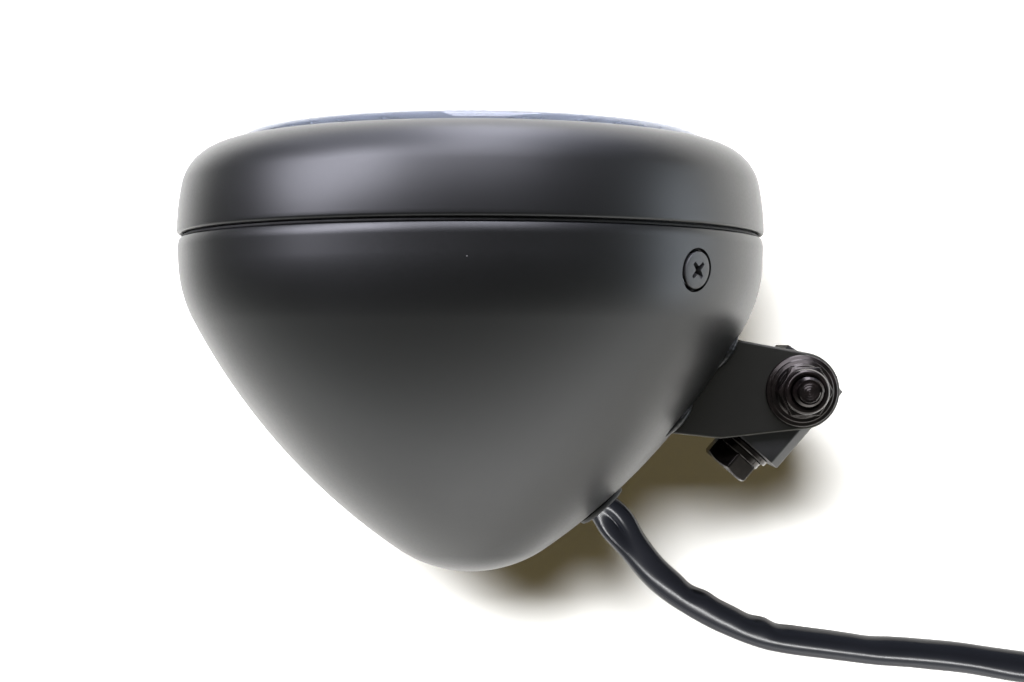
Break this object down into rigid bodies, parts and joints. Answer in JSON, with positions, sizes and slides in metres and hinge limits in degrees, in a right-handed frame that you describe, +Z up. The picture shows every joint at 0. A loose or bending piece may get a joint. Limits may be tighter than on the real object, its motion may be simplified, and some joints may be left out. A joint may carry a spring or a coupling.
{
  "type": "round motorcycle headlight",
  "caption": "Round headlight with a bullet shell, rounded trim ring, domed lens, folding bottom mount block and short sleeved lead.",
  "frame": {"origin": "centre of the mount block's seat, where the bolt enters the block", "axes": "the lens faces -Y, +Z is up through the lamp, +X is to the lamp's left as seen from the front"},
  "size_m": [0.163, 0.1679, 0.3927],
  "materials": {
    "satin_black": "satin powder coat",
    "bracket_black": "matte powder coat",
    "block_black": "matte powder coat",
    "black_steel": "glossy black zinc",
    "black_screw": "black zinc",
    "lens_glass": "clear pressed glass",
    "bulb_glass": "clear glass",
    "reflector_silver": "vacuum metallised",
    "zinc_steel": "zinc plated",
    "brass": "tinned brass",
    "rubber": "matte",
    "connector_plastic": "moulded",
    "vinyl_black": "glossy vinyl",
    "cover_plastic": "clear soft plastic",
    "wire_white": "insulation",
    "wire_blue": "insulation",
    "wire_black": "insulation"
  },
  "bodies": {
    "mount": {"mount_block": "block_black", "mount_bolt": "black_steel", "mount_spring_washer": "black_steel", "mount_flat_washer": "black_steel"},
    "lamp": {"shell": "satin_black", "trim_ring": "satin_black", "seam_seal": "rubber", "lens": "lens_glass", "lens_gasket": "rubber", "reflector": "reflector_silver", "retaining_ring": "zinc_steel", "unit_clips": "zinc_steel", "bulb_glass": "bulb_glass", "bulb_base": "zinc_steel", "bulb_blades": "brass", "bulb_clip": "zinc_steel", "dust_boot": "rubber", "bulb_connector": "connector_plastic", "harness_wire_1": "wire_white", "harness_wire_2": "wire_blue", "harness_wire_3": "wire_black", "cable_grommet": "rubber", "cable_sleeve": "vinyl_black", "lead_wire_1": "wire_white", "lead_wire_2": "wire_blue", "lead_wire_3": "wire_black", "lead_terminals": "brass", "terminal_covers": "cover_plastic", "screw_tabs": "zinc_steel", "top_hook": "zinc_steel", "side_screws": "black_screw", "mounting_bracket": "bracket_black", "pivot_bolt": "black_steel", "pivot_washer": "black_steel", "pivot_nut": "black_steel"}
  },
  "joints": [
    {"name": "aim_tilt", "type": "hinge", "parent": "mount", "child": "lamp", "pos_m": [0, -0.01509, -0.01312], "axis": [1, 0, 0], "range_deg": [-10, 180]}
  ]
}
